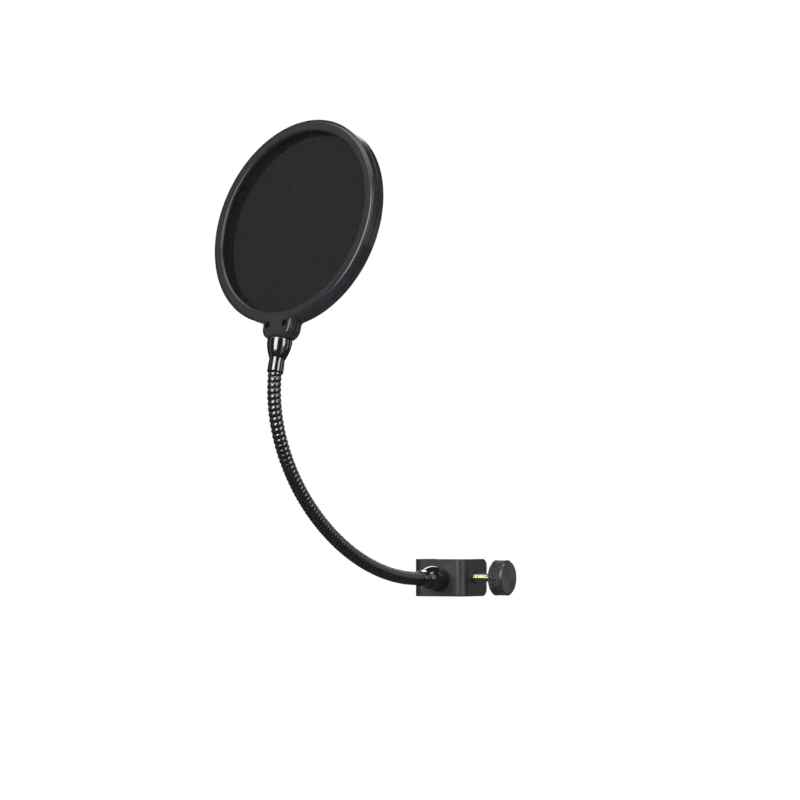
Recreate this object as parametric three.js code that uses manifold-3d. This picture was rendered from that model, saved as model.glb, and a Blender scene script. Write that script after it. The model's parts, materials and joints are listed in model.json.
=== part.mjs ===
// A clamp-on pop filter: a stand clamp, a gooseneck and a round double screen, in millimetres.
//
// Frame: the origin is where the clamp screw's axis meets the fixed jaw's gripping face. +X runs along
// the screw, from the fixed jaw to the knob. +Y points out of the clamp's open side, and +Z up along
// the stand's tube. The neck leaves the clamp along -Y and curls up in the plane x = BASE_X.

import * as THREE from "three";
import { mergeVertices } from "three/addons/utils/BufferGeometryUtils.js";
import Module from "manifold-3d";

const wasm = await Module();
wasm.setup();

// ---------- driving dimensions ----------

const GAP = 0.1; // clearance between pieces that rest on each other

// clamp bracket: a strap bent into a U
const STRAP_THICK = 3;
const STRAP_HEIGHT = 28.4;
const JAW_OPENING = 38.6; // between the inner faces of the two legs
const BASE_OUTER_Y = -18; // outer face of the base, with the screw's axis at y = 0
const LEG_END_Y = 19.2;
const BEND_RADIUS = 7.4; // outside of each bend
const LEG_CORNER_RADIUS = 6;
const LINER_THICK = 1.5;
const LINER_CORNER_RADIUS = 2.5;
const LINER_FROM_BEND = 1;
const LINER_FROM_LEG_END = 2.2;
const LINER_FROM_STRAP_EDGE = 2;

// clamp screw, its nut, its knob and its foot
const TUBE_DIAMETER = 17.6; // the stand tube that the clamp holds as drawn
const SCREW_RADIUS = 3; // M6 thread, pitch 1
const SCREW_EXPOSED = 17.3; // thread between the leg and the knob
const SCREW_CHAMFER = 0.5;
const NUT_BORE_RADIUS = 3.2;
const NUT_FLANGE_RADIUS = 6.5;
const NUT_FLANGE_THICK = 1.5;
const NUT_SHANK_RADIUS = 4.4;
const NUT_HOLE_RADIUS = 4.6;
const KNOB_RADIUS = 13.5;
const KNOB_THICK = 11.8;
const KNOB_CHAMFER = 0.8;
const KNOB_BORE_DEPTH = 6.5;
const FOOT_RADIUS = 7;
const FOOT_LENGTH = 4.6;
const FOOT_CAVITY_RADIUS = 4;
const FOOT_CAVITY_DEPTH = 2.2;
const FOOT_FRONT_CHAMFER = 0.3;
const FOOT_BACK_CHAMFER = 1.2;
const FOOT_PAD_RADIUS = 6.6;
const FOOT_PAD_THICK = 1.6;
const PIN_RADIUS = 2; // the screw's turned-down tip, on which the foot swivels
const PIN_LENGTH = 3.9;
const CLIP_OUTER_RADIUS = 3.2;
const CLIP_INNER_RADIUS = 1.65;
const CLIP_THICK = 0.5;
const CLIP_TO_CAVITY_FLOOR = 0.2;
const CLIP_GROOVE_PLAY = 0.1; // on each side of the clip

// bolt that holds the neck to the clamp
const BOLT_RADIUS = 2.4;
const BOLT_LENGTH = 13;
const BOLT_HEAD_RADIUS = 4.6;
const BOLT_HEAD_THICK = 2.6;
const BOLT_HEAD_CHAMFER = 0.6;
const BOLT_TIP_CHAMFER = 0.4;
const BOLT_SOCKET_RADIUS = 2;
const BOLT_SOCKET_DEPTH = 1.6;
const BOLT_HOLE_RADIUS = 2.7; // in the bracket
const BOLT_THREAD_HOLE_RADIUS = 2.6; // in the ferrule and the washer
const BOLT_END_ROOM = 1;
const WASHER_RADIUS = 5.2;
const WASHER_THICK = 1;

// ferrules
const FERRULE_RADIUS = 9.3;
const FERRULE_BASE_LOWER = 8.2; // straight part before the flare
const FERRULE_BASE_UPPER = 1.2;
const FERRULE_FLARE = 16.3;
const FERRULE_WAIST_RADIUS = 5.8;
const COLLAR_RADIUS = 6;
const COLLAR_LENGTH = 6.8;
const COLLAR_CHAMFER = 0.3;
const FLARE_STEPS = 6;
const FLARE_POWER = 1.2; // above 1 it hollows the flare

// gooseneck: one cubic Bezier in the plane x = BASE_X
const HOSE_RADIUS = 5;
const HOSE_BORE_RADIUS = 2;
const HOSE_LINKS = 16;
const LINK_GAP = 2.2;
const LINK_LAND_RADIUS = 2.6; // flat ring at each end of a link
const LINK_NOSE = 2.2; // length of the cone at each end of a link
const NECK_END = { y: -266, z: 150.8 }; // where the hose enters the upper ferrule
const NECK_END_LEAN = 11.3; // degrees from upright at that end, towards +Y
const NECK_HANDLE_LOWER = 112.5;
const NECK_HANDLE_UPPER = 78;

// head
const STEM_LEAN = 17; // degrees from upright of the upper ferrule and the hoop
const HEAD_TWIST = 14.1; // degrees that the screens face away from the neck's plane, about the stem
const TAB_EDGE_TO_CENTRE = 89.6; // tab's lower edge to the middle of the screens
const HOOP_RADIUS = 78;
const HOOP_INNER_RADIUS = 69.3;
const HOOP_HALF_THICK = 6.8;
const HOOP_SEAT_RADIUS = 72;
const HOOP_SEAT_DEPTH = 3.6; // from the parting plane to the flange that holds the screen
const HOOP_SHOULDER_WIDTH = 3.2; // the outer edge is rounded over this much of the front face
const HOOP_SHOULDER_HEIGHT = 2; // and over this much of the outer wall
const HOOP_INNER_CHAMFER = 0.8;
const HOOP_PARTING = 0.15; // each half ends this far from the parting plane
const HOOP_SIDES = 60;
const SCREEN_RADIUS = 71.8;
const SCREEN_THICK = 0.5;
const SPACER_INNER_RADIUS = 69.8;
const TAB_WIDTH = 27.9;
const TAB_CORNER_RADIUS = 8.5;
const TAB_ROOT_RADIUS = 73; // how far in the tab joins the hoop
const TAB_SCREW_SPACING = 16.7;
const TAB_SCREW_FROM_EDGE = 10.4;
const TAB_SCREW_RADIUS = 1.3;
const TAB_SCREW_HEAD_RADIUS = 2.2;
const TAB_SCREW_HEAD_THICK = 1.6;
const TAB_RECESS_RADIUS = 2.6;
const TAB_RECESS_DEPTH = 3;
const TAB_SCREW_LENGTH = 9.6;
const TAB_SCREW_CHAMFER = 0.5;
const TAB_SCREW_TIP = 1;
const REAR_WALL_UNDER_SCREW = 0.8; // left in the rear half below the screws' holes
const STUD_RADIUS = 2.6;
const STUD_IN_TAB = 9.5;
const STUD_END_ROOM = 1;
const TAB_TO_FERRULE = 0.3;
const STUD_IN_FERRULE = 8;

// ---------- places worked out from them ----------

const JAW_INNER_X = -(LINER_THICK + GAP);
const JAW_OUTER_X = JAW_INNER_X - STRAP_THICK;
const LEG_INNER_X = JAW_INNER_X + JAW_OPENING;
const LEG_OUTER_X = LEG_INNER_X + STRAP_THICK;
const BASE_X = (JAW_OUTER_X + LEG_OUTER_X) / 2;
const BASE_INNER_Y = BASE_OUTER_Y + STRAP_THICK;
const FOOT_FRONT_X = TUBE_DIAMETER + FOOT_PAD_THICK + GAP;
const FOOT_BACK_X = FOOT_FRONT_X + FOOT_LENGTH;
const SCREW_SHOULDER_X = FOOT_BACK_X + 2 * GAP;
const CLIP_X = FOOT_FRONT_X + FOOT_CAVITY_DEPTH - CLIP_TO_CAVITY_FLOOR - CLIP_THICK;
const KNOB_INNER_X = LEG_OUTER_X + SCREW_EXPOSED;
const FERRULE_LOWER_Y = BASE_OUTER_Y - GAP;

const X = new THREE.Vector3(1, 0, 0);
const Y = new THREE.Vector3(0, 1, 0);
const MINUS_Y = new THREE.Vector3(0, -1, 0);

// ---------- materials ----------

const paint = (color, roughness, metalness) =>
  new THREE.MeshStandardMaterial({ color, roughness, metalness });
const coatedSteel = () => paint(0x303136, 0.5, 0.4);
const glossMetal = () => paint(0x141416, 0.2, 0.6);
const hoseMetal = () => paint(0x18181b, 0.3, 0.7);
const brass = () => paint(0xc9b26a, 0.3, 1);
const zincSteel = () => paint(0x9a9ca0, 0.4, 0.9);
const moulded = () => paint(0x2c2c30, 0.45, 0);
const rubber = () => paint(0x18181a, 0.9, 0);
const nylon = () => paint(0x222226, 0.85, 0);

// ---------- shape helpers ----------

// a closed geometry as a manifold-3d solid
function solid(geometry) {
  const bare = geometry.index ? geometry.toNonIndexed() : geometry.clone();
  bare.deleteAttribute("normal");
  bare.deleteAttribute("uv");
  const merged = mergeVertices(bare, 1e-4);
  return new wasm.Manifold(
    new wasm.Mesh({
      numProp: 3,
      vertProperties: merged.attributes.position.array,
      triVerts: new Uint32Array(merged.index.array),
    }),
  );
}

// a manifold-3d solid as a geometry
function geometryOf(body) {
  const { vertProperties, triVerts, numProp } = body.getMesh();
  const positions = new Float32Array((vertProperties.length / numProp) * 3);
  for (let i = 0; i < positions.length / 3; i++)
    positions.set(vertProperties.subarray(i * numProp, i * numProp + 3), i * 3);
  return new THREE.BufferGeometry()
    .setAttribute("position", new THREE.BufferAttribute(positions, 3))
    .setIndex(new THREE.BufferAttribute(triVerts, 1));
}

// a solid turned about +Y, from [radius, height] pairs listed upwards along the outside
function turned(profile, sides) {
  const points = profile.map(([r, h]) => new THREE.Vector2(r, h));
  return new THREE.LatheGeometry(points, sides);
}

// a ring turned about +Y, whose profile closes on itself
function turnedRing(profile, sides) {
  return turned([...profile, profile[0]], sides);
}

// the geometry with its +Y turned onto a direction and its origin moved to a point
function along(geometry, from, direction) {
  const turn = new THREE.Quaternion().setFromUnitVectors(Y, direction);
  return geometry.applyQuaternion(turn).translate(from.x, from.y, from.z);
}

const rod = (radius, length, sides) =>
  turned([[0, 0], [radius, 0], [radius, length], [0, length]], sides);
const rodX = (radius, x0, x1, sides) =>
  along(rod(radius, x1 - x0, sides), new THREE.Vector3(x0, 0, 0), X);

// a closed outline with rounded corners, from [x, y, radius] listed anticlockwise
function roundedOutline(corners) {
  const shape = new THREE.Shape();
  corners.forEach(([x, y, radius], i) => {
    const before = corners.at(i - 1);
    const after = corners[(i + 1) % corners.length];
    const toBefore = new THREE.Vector2(before[0] - x, before[1] - y).normalize();
    const toAfter = new THREE.Vector2(after[0] - x, after[1] - y).normalize();
    const reach = radius / Math.tan(Math.acos(toBefore.dot(toAfter)) / 2);
    const [ax, ay] = [x + toBefore.x * reach, y + toBefore.y * reach];
    const [bx, by] = [x + toAfter.x * reach, y + toAfter.y * reach];
    if (i === 0) shape.moveTo(ax, ay);
    else shape.lineTo(ax, ay);
    if (radius > 0) shape.quadraticCurveTo(x, y, bx, by);
  });
  shape.closePath();
  return shape;
}

const extruded = (shape, depth, curveSegments) =>
  new THREE.ExtrudeGeometry(shape, { depth, curveSegments, bevelEnabled: false });

// a plate in the YZ plane from x0 to x1, with its outline given as (y, z)
function plateX(shape, x0, x1, curveSegments) {
  const toYZ = new THREE.Matrix4().makeBasis(Y, new THREE.Vector3(0, 0, 1), X);
  return extruded(shape, x1 - x0, curveSegments).applyMatrix4(toYZ).translate(x0, 0, 0);
}

const model = new THREE.Group();

function add(parent, name, geometry, material) {
  const mesh = new THREE.Mesh(geometry, material);
  mesh.name = name;
  parent.add(mesh);
}

// ---------- clamp ----------

function bracket() {
  const halfHeight = STRAP_HEIGHT / 2;
  const inner = BEND_RADIUS - STRAP_THICK;
  const [x0, x1] = [JAW_OUTER_X, JAW_INNER_X];
  const [x2, x3] = [LEG_INNER_X, LEG_OUTER_X];
  const strap = new THREE.Shape();
  strap.moveTo(x0, LEG_END_Y);
  strap.absarc(x0 + BEND_RADIUS, BASE_OUTER_Y + BEND_RADIUS, BEND_RADIUS, Math.PI, 1.5 * Math.PI);
  strap.absarc(x3 - BEND_RADIUS, BASE_OUTER_Y + BEND_RADIUS, BEND_RADIUS, 1.5 * Math.PI, 2 * Math.PI);
  strap.lineTo(x3, LEG_END_Y);
  strap.lineTo(x2, LEG_END_Y);
  strap.absarc(x2 - inner, BASE_INNER_Y + inner, inner, 2 * Math.PI, 1.5 * Math.PI, true);
  strap.absarc(x1 + inner, BASE_INNER_Y + inner, inner, 1.5 * Math.PI, Math.PI, true);
  strap.lineTo(x1, LEG_END_Y);
  const bent = extruded(strap, STRAP_HEIGHT, 8).translate(0, 0, -halfHeight);
  const sideView = roundedOutline([
    [BASE_OUTER_Y - 1, -halfHeight - 1, 0],
    [LEG_END_Y, -halfHeight, LEG_CORNER_RADIUS],
    [LEG_END_Y, halfHeight, LEG_CORNER_RADIUS],
    [BASE_OUTER_Y - 1, halfHeight + 1, 0],
  ]);
  const envelope = plateX(sideView, x0 - 1, x3 + 1, 6);
  const screwHole = rodX(NUT_HOLE_RADIUS, x2 - 1, x3 + 1, 24);
  const boltHole = along(
    rod(BOLT_HOLE_RADIUS, STRAP_THICK + 2, 20),
    new THREE.Vector3(BASE_X, BASE_OUTER_Y - 1, 0),
    Y,
  );
  return geometryOf(
    solid(bent).intersect(solid(envelope)).subtract(solid(screwHole)).subtract(solid(boltHole)),
  );
}

function jawLiner() {
  const y0 = BASE_OUTER_Y + BEND_RADIUS + LINER_FROM_BEND;
  const y1 = LEG_END_Y - LINER_FROM_LEG_END;
  const z = STRAP_HEIGHT / 2 - LINER_FROM_STRAP_EDGE;
  const outline = roundedOutline([
    [y0, -z, LINER_CORNER_RADIUS],
    [y1, -z, LINER_CORNER_RADIUS],
    [y1, z, LINER_CORNER_RADIUS],
    [y0, z, LINER_CORNER_RADIUS],
  ]);
  return plateX(outline, -LINER_THICK, 0, 4);
}

function pressNut() {
  const flange = LEG_INNER_X - GAP / 2;
  const profile = [
    [NUT_BORE_RADIUS, 0],
    [NUT_FLANGE_RADIUS, 0],
    [NUT_FLANGE_RADIUS, NUT_FLANGE_THICK],
    [NUT_SHANK_RADIUS, NUT_FLANGE_THICK],
    [NUT_SHANK_RADIUS, NUT_FLANGE_THICK + STRAP_THICK],
    [NUT_BORE_RADIUS, NUT_FLANGE_THICK + STRAP_THICK],
  ];
  return along(turnedRing(profile, 24), new THREE.Vector3(flange - NUT_FLANGE_THICK, 0, 0), X);
}

add(model, "clamp_bracket", bracket(), coatedSteel());
add(model, "jaw_liner", jawLiner(), rubber());
add(model, "press_nut", pressNut(), zincSteel());

// ---------- clamp screw, knob and foot ----------

function clampScrew() {
  const tip = SCREW_SHOULDER_X - PIN_LENGTH;
  const groove = CLIP_INNER_RADIUS - GAP;
  const groove0 = CLIP_X - CLIP_GROOVE_PLAY - tip;
  const groove1 = CLIP_X + CLIP_THICK + CLIP_GROOVE_PLAY - tip;
  const end = KNOB_INNER_X + KNOB_BORE_DEPTH - 2 * GAP - tip;
  const profile = [
    [0, 0],
    [PIN_RADIUS, 0],
    [PIN_RADIUS, groove0],
    [groove, groove0],
    [groove, groove1],
    [PIN_RADIUS, groove1],
    [PIN_RADIUS, PIN_LENGTH],
    [SCREW_RADIUS - SCREW_CHAMFER, PIN_LENGTH],
    [SCREW_RADIUS, PIN_LENGTH + SCREW_CHAMFER],
    [SCREW_RADIUS, end],
    [0, end],
  ];
  return along(turned(profile, 20), new THREE.Vector3(tip, 0, 0), X);
}

function footClip() {
  const profile = [
    [CLIP_INNER_RADIUS, 0],
    [CLIP_OUTER_RADIUS, 0],
    [CLIP_OUTER_RADIUS, CLIP_THICK],
    [CLIP_INNER_RADIUS, CLIP_THICK],
  ];
  return along(turnedRing(profile, 16), new THREE.Vector3(CLIP_X, 0, 0), X);
}

function knob() {
  const bore = SCREW_RADIUS + GAP;
  const profile = [
    [0, KNOB_BORE_DEPTH],
    [bore, KNOB_BORE_DEPTH],
    [bore, 0],
    [KNOB_RADIUS - KNOB_CHAMFER, 0],
    [KNOB_RADIUS, KNOB_CHAMFER],
    [KNOB_RADIUS, KNOB_THICK - KNOB_CHAMFER],
    [KNOB_RADIUS - KNOB_CHAMFER, KNOB_THICK],
    [0, KNOB_THICK],
  ];
  return along(turned(profile, 36), new THREE.Vector3(KNOB_INNER_X, 0, 0), X);
}

function pressureFoot() {
  const bore = PIN_RADIUS + 2 * GAP;
  const profile = [
    [FOOT_CAVITY_RADIUS, 0],
    [FOOT_RADIUS - FOOT_FRONT_CHAMFER, 0],
    [FOOT_RADIUS, FOOT_FRONT_CHAMFER],
    [FOOT_RADIUS, FOOT_LENGTH - FOOT_BACK_CHAMFER],
    [FOOT_RADIUS - FOOT_BACK_CHAMFER, FOOT_LENGTH],
    [bore, FOOT_LENGTH],
    [bore, FOOT_CAVITY_DEPTH],
    [FOOT_CAVITY_RADIUS, FOOT_CAVITY_DEPTH],
  ];
  return along(turnedRing(profile, 24), new THREE.Vector3(FOOT_FRONT_X, 0, 0), X);
}

add(model, "pressure_foot", pressureFoot(), moulded());
add(model, "foot_pad", rodX(FOOT_PAD_RADIUS, TUBE_DIAMETER, FOOT_FRONT_X - GAP, 24), rubber());
add(model, "foot_clip", footClip(), zincSteel());
add(model, "clamp_screw", clampScrew(), brass());
add(model, "knob", knob(), moulded());

// ---------- bolt and ferrules ----------

const boltSeatY = BASE_INNER_Y + WASHER_THICK + 2 * GAP;
const baseCentre = (y) => new THREE.Vector3(BASE_X, y, 0);

function neckBolt() {
  const profile = [
    [0, -BOLT_LENGTH],
    [BOLT_RADIUS - BOLT_TIP_CHAMFER, -BOLT_LENGTH],
    [BOLT_RADIUS, BOLT_TIP_CHAMFER - BOLT_LENGTH],
    [BOLT_RADIUS, 0],
    [BOLT_HEAD_RADIUS, 0],
    [BOLT_HEAD_RADIUS, BOLT_HEAD_THICK - BOLT_HEAD_CHAMFER],
    [BOLT_HEAD_RADIUS - BOLT_HEAD_CHAMFER, BOLT_HEAD_THICK],
    [0, BOLT_HEAD_THICK],
  ];
  const body = along(turned(profile, 24), baseCentre(boltSeatY), Y);
  const socketFloor = baseCentre(boltSeatY + BOLT_HEAD_THICK - BOLT_SOCKET_DEPTH);
  const socket = along(rod(BOLT_SOCKET_RADIUS, BOLT_SOCKET_DEPTH + 1, 6), socketFloor, Y);
  return geometryOf(solid(body).subtract(solid(socket)));
}

function lockWasher() {
  const profile = [
    [BOLT_THREAD_HOLE_RADIUS, 0],
    [WASHER_RADIUS, 0],
    [WASHER_RADIUS, WASHER_THICK],
    [BOLT_THREAD_HOLE_RADIUS, WASHER_THICK],
  ];
  return along(turnedRing(profile, 24), baseCentre(BASE_INNER_Y + GAP), Y);
}

const ferruleLength = (base) => base + FERRULE_FLARE + COLLAR_LENGTH;

// a bell-shaped ferrule that stands on y = 0 with its collar up, and a blind hole in its foot
function ferrule(base, holeRadius, holeDepth) {
  const flare = Array.from({ length: FLARE_STEPS + 1 }, (_, i) => {
    const u = i / FLARE_STEPS;
    const swell = Math.pow(Math.max(0, Math.cos((Math.PI / 2) * u)), FLARE_POWER);
    const r = FERRULE_WAIST_RADIUS + (FERRULE_RADIUS - FERRULE_WAIST_RADIUS) * swell;
    return [r, base + FERRULE_FLARE * u];
  });
  const top = ferruleLength(base);
  return turned(
    [
      [0, holeDepth],
      [holeRadius, holeDepth],
      [holeRadius, 0],
      [FERRULE_RADIUS, 0],
      ...flare,
      [COLLAR_RADIUS, base + FERRULE_FLARE + COLLAR_CHAMFER],
      [COLLAR_RADIUS, top - COLLAR_CHAMFER],
      [COLLAR_RADIUS - COLLAR_CHAMFER, top],
      [0, top],
    ],
    24,
  );
}

const boltHoleDepth = BOLT_LENGTH - (boltSeatY - FERRULE_LOWER_Y) + BOLT_END_ROOM;

add(model, "neck_bolt", neckBolt(), zincSteel());
add(model, "lock_washer", lockWasher(), zincSteel());
add(
  model,
  "lower_ferrule",
  along(
    ferrule(FERRULE_BASE_LOWER, BOLT_THREAD_HOLE_RADIUS, boltHoleDepth),
    baseCentre(FERRULE_LOWER_Y),
    MINUS_Y,
  ),
  glossMetal(),
);

// ---------- gooseneck ----------

// the direction in the neck's plane that leans from +Z towards +Y by an angle in degrees
function leaning(degrees) {
  const angle = THREE.MathUtils.degToRad(degrees);
  return new THREE.Vector3(0, Math.sin(angle), Math.cos(angle));
}

const hoseEnd = leaning(NECK_END_LEAN);
const stem = leaning(STEM_LEAN);
const neckStart = baseCentre(FERRULE_LOWER_Y - ferruleLength(FERRULE_BASE_LOWER));
const neckEnd = new THREE.Vector3(BASE_X, NECK_END.y, NECK_END.z);
const neck = new THREE.CubicBezierCurve3(
  neckStart,
  neckStart.clone().add(new THREE.Vector3(0, -NECK_HANDLE_LOWER, 0)),
  neckEnd.clone().addScaledVector(hoseEnd, -NECK_HANDLE_UPPER),
  neckEnd,
);
neck.arcLengthDivisions = 800;

// a bored bead along the straight line between two neighbouring hinges
function hoseLink(from, to) {
  const direction = to.clone().sub(from);
  const length = direction.length() - LINK_GAP;
  direction.normalize();
  const profile = [
    [HOSE_BORE_RADIUS, 0],
    [LINK_LAND_RADIUS, 0],
    [HOSE_RADIUS, LINK_NOSE],
    [HOSE_RADIUS, length - LINK_NOSE],
    [LINK_LAND_RADIUS, length],
    [HOSE_BORE_RADIUS, length],
  ];
  const start = from.clone().addScaledVector(direction, LINK_GAP / 2);
  return along(turnedRing(profile, 12), start, direction);
}

for (let i = 0; i < HOSE_LINKS; i++) {
  const from = neck.getPointAt(i / HOSE_LINKS);
  const to = neck.getPointAt((i + 1) / HOSE_LINKS);
  const name = "gooseneck_" + String(i + 1).padStart(2, "0");
  add(model, name, hoseLink(from, to), hoseMetal());
}

// ---------- upper ferrule and head, in the stem's frame: +Y up the stem, +Z to the front ----------

const stemGroup = new THREE.Group();
stemGroup.position.copy(neckEnd);
stemGroup.quaternion.setFromRotationMatrix(
  new THREE.Matrix4().makeBasis(X, stem, X.clone().cross(stem)),
);
model.add(stemGroup);

const upperLength = ferruleLength(FERRULE_BASE_UPPER);
add(
  stemGroup,
  "upper_ferrule",
  along(
    ferrule(FERRULE_BASE_UPPER, STUD_RADIUS + GAP, STUD_IN_FERRULE + GAP),
    new THREE.Vector3(0, upperLength, 0),
    MINUS_Y,
  ),
  glossMetal(),
);
add(
  stemGroup,
  "head_stud",
  rod(STUD_RADIUS, STUD_IN_FERRULE + STUD_IN_TAB, 20).translate(0, upperLength - STUD_IN_FERRULE, 0),
  zincSteel(),
);

// the head's group has its origin at the middle of the screens, on the parting plane
const head = new THREE.Group();
head.position.y = upperLength + TAB_TO_FERRULE + TAB_EDGE_TO_CENTRE;
head.rotation.y = THREE.MathUtils.degToRad(-HEAD_TWIST);
stemGroup.add(head);

const toFront = (geometry) => geometry.rotateX(Math.PI / 2);

// half of the hoop with its half of the tab, from the parting plane to the front
function hoopHalf() {
  const [width, height] = [HOOP_SHOULDER_WIDTH, HOOP_SHOULDER_HEIGHT];
  const shoulder = [0, 0.25, 0.5, 0.75, 1].map((t) => {
    const a = (t * Math.PI) / 2;
    return [
      HOOP_RADIUS - width + width * Math.cos(a),
      HOOP_HALF_THICK - height + height * Math.sin(a),
    ];
  });
  const ring = turnedRing(
    [
      [HOOP_SEAT_RADIUS, HOOP_PARTING],
      [HOOP_RADIUS, HOOP_PARTING],
      ...shoulder,
      [HOOP_INNER_RADIUS + HOOP_INNER_CHAMFER, HOOP_HALF_THICK],
      [HOOP_INNER_RADIUS, HOOP_HALF_THICK - HOOP_INNER_CHAMFER],
      [HOOP_INNER_RADIUS, HOOP_SEAT_DEPTH],
      [HOOP_SEAT_RADIUS, HOOP_SEAT_DEPTH],
    ],
    HOOP_SIDES,
  );
  const half = TAB_WIDTH / 2;
  const tongue = roundedOutline([
    [-half, -TAB_EDGE_TO_CENTRE, TAB_CORNER_RADIUS],
    [half, -TAB_EDGE_TO_CENTRE, TAB_CORNER_RADIUS],
    [half, -TAB_ROOT_RADIUS, 0],
    [-half, -TAB_ROOT_RADIUS, 0],
  ]);
  const tab = extruded(tongue, HOOP_HALF_THICK - HOOP_PARTING, 6).translate(0, 0, HOOP_PARTING);
  const channelFrom = -TAB_EDGE_TO_CENTRE - 1;
  const channelLength = STUD_IN_TAB + STUD_END_ROOM + 1;
  const channel = rod(STUD_RADIUS + 2 * GAP, channelLength, 20).translate(0, channelFrom, 0);
  return solid(toFront(ring)).add(solid(tab)).subtract(solid(channel));
}

const screwPlaces = [-1, 1].map((side) => [
  (side * TAB_SCREW_SPACING) / 2,
  TAB_SCREW_FROM_EDGE - TAB_EDGE_TO_CENTRE,
]);
const recessFloor = HOOP_HALF_THICK - TAB_RECESS_DEPTH;

function drilled(body, radius, z0, z1) {
  return screwPlaces.reduce((left, [x, y]) => {
    const drill = toFront(rod(radius, z1 - z0, 16)).translate(x, y, z0);
    return left.subtract(solid(drill));
  }, body);
}

function frontHoop() {
  const through = drilled(hoopHalf(), TAB_SCREW_RADIUS + 2 * GAP, -1, HOOP_HALF_THICK);
  return geometryOf(drilled(through, TAB_RECESS_RADIUS, recessFloor, HOOP_HALF_THICK + 1));
}

function rearHoop() {
  const facingBack = new THREE.Matrix4().makeRotationY(Math.PI);
  const half = geometryOf(hoopHalf()).applyMatrix4(facingBack);
  const holeFloor = REAR_WALL_UNDER_SCREW - HOOP_HALF_THICK;
  return geometryOf(drilled(solid(half), TAB_SCREW_RADIUS + GAP, holeFloor, 1));
}

function spacerRing() {
  const z = HOOP_SEAT_DEPTH - SCREEN_THICK - 2 * GAP;
  const profile = [
    [SPACER_INNER_RADIUS, -z],
    [SCREEN_RADIUS, -z],
    [SCREEN_RADIUS, z],
    [SPACER_INNER_RADIUS, z],
  ];
  return toFront(turnedRing(profile, HOOP_SIDES));
}

function tabScrew() {
  const profile = [
    [0, -TAB_SCREW_LENGTH],
    [TAB_SCREW_RADIUS - TAB_SCREW_CHAMFER, -TAB_SCREW_LENGTH],
    [TAB_SCREW_RADIUS, TAB_SCREW_TIP - TAB_SCREW_LENGTH],
    [TAB_SCREW_RADIUS, 0],
    [TAB_SCREW_HEAD_RADIUS, 0],
    [TAB_SCREW_HEAD_RADIUS, TAB_SCREW_HEAD_THICK - TAB_SCREW_CHAMFER],
    [TAB_SCREW_HEAD_RADIUS - TAB_SCREW_CHAMFER, TAB_SCREW_HEAD_THICK],
    [0, TAB_SCREW_HEAD_THICK],
  ];
  return toFront(turned(profile, 16)).translate(0, 0, recessFloor + GAP);
}

const screen = () => toFront(rod(SCREEN_RADIUS, SCREEN_THICK, HOOP_SIDES));
const screenZ = HOOP_SEAT_DEPTH - SCREEN_THICK - GAP;

add(head, "front_hoop", frontHoop(), moulded());
add(head, "rear_hoop", rearHoop(), moulded());
add(head, "spacer_ring", spacerRing(), moulded());
add(head, "front_screen", screen().translate(0, 0, screenZ), nylon());
add(head, "rear_screen", screen().translate(0, 0, -screenZ - SCREEN_THICK), nylon());
screwPlaces.forEach(([x, y], i) =>
  add(head, "tab_screw_" + (i ? "right" : "left"), tabScrew().translate(x, y, 0), zincSteel()),
);

export default model;
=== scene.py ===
"""Looks for the clamp-on pop filter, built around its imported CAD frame. Lengths are in metres."""

import math

import bmesh
import bpy
import numpy as np
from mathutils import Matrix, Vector
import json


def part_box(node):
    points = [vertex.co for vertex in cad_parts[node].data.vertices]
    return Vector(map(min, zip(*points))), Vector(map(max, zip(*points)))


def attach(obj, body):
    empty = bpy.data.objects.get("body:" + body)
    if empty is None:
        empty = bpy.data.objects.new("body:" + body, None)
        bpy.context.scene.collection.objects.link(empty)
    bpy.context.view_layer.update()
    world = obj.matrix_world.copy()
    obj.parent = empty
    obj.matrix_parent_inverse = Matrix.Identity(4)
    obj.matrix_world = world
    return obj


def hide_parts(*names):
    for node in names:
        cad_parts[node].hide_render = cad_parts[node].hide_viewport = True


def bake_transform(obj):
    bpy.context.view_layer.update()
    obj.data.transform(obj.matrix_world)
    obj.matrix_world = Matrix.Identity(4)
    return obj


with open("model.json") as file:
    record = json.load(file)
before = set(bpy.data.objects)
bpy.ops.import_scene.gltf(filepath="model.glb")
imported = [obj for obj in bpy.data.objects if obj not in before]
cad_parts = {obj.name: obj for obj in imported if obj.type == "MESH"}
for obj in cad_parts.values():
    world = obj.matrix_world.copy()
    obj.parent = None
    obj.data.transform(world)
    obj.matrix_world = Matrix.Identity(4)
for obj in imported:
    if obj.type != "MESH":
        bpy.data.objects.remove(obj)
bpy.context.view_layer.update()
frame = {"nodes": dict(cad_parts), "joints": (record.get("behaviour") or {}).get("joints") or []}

MM = 0.001
X, Y, Z = np.eye(3)
joints = {j["name"]: j for j in frame["joints"]}

# ---------- dimensions shared with the CAD source, in millimetres ----------

BASE_X = 17.7
BASE_OUTER_Y = -18.0
STRAP_THICK = 3.0
STRAP_HEIGHT = 28.4
JAW_OUTER_X, LEG_OUTER_X = -4.6, 40.0
LEG_END_Y = 19.2
BEND_RADIUS = 7.4
LEG_CORNER_RADIUS = 6.0
NUT_HOLE_RADIUS = 4.6
BOLT_HOLE_RADIUS = 2.7
TUBE_DIAMETER = 17.6
FOOT_FRONT_X = 19.3
SCREW_SHOULDER_X = 24.1
SCREW_RADIUS = 3.0
THREAD_PITCH = 1.0
PIN_RADIUS, PIN_LENGTH = 2.0, 3.9
KNOB_INNER_X = 57.3
KNOB_RADIUS, KNOB_THICK = 13.5, 11.8
KNOB_BORE_DEPTH = 6.5
FERRULE_LOWER_Y = -18.1
FERRULE_RADIUS, FERRULE_FLARE, FERRULE_WAIST = 9.3, 16.3, 5.8
COLLAR_RADIUS, COLLAR_LENGTH = 6.0, 6.8
FERRULE_BASE_LOWER, FERRULE_BASE_UPPER = 8.2, 1.2
NECK_HANDLE_LOWER, NECK_HANDLE_UPPER = 112.5, 78.0
NECK_END_LEAN = 11.3
HOSE_LINKS = 16
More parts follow.
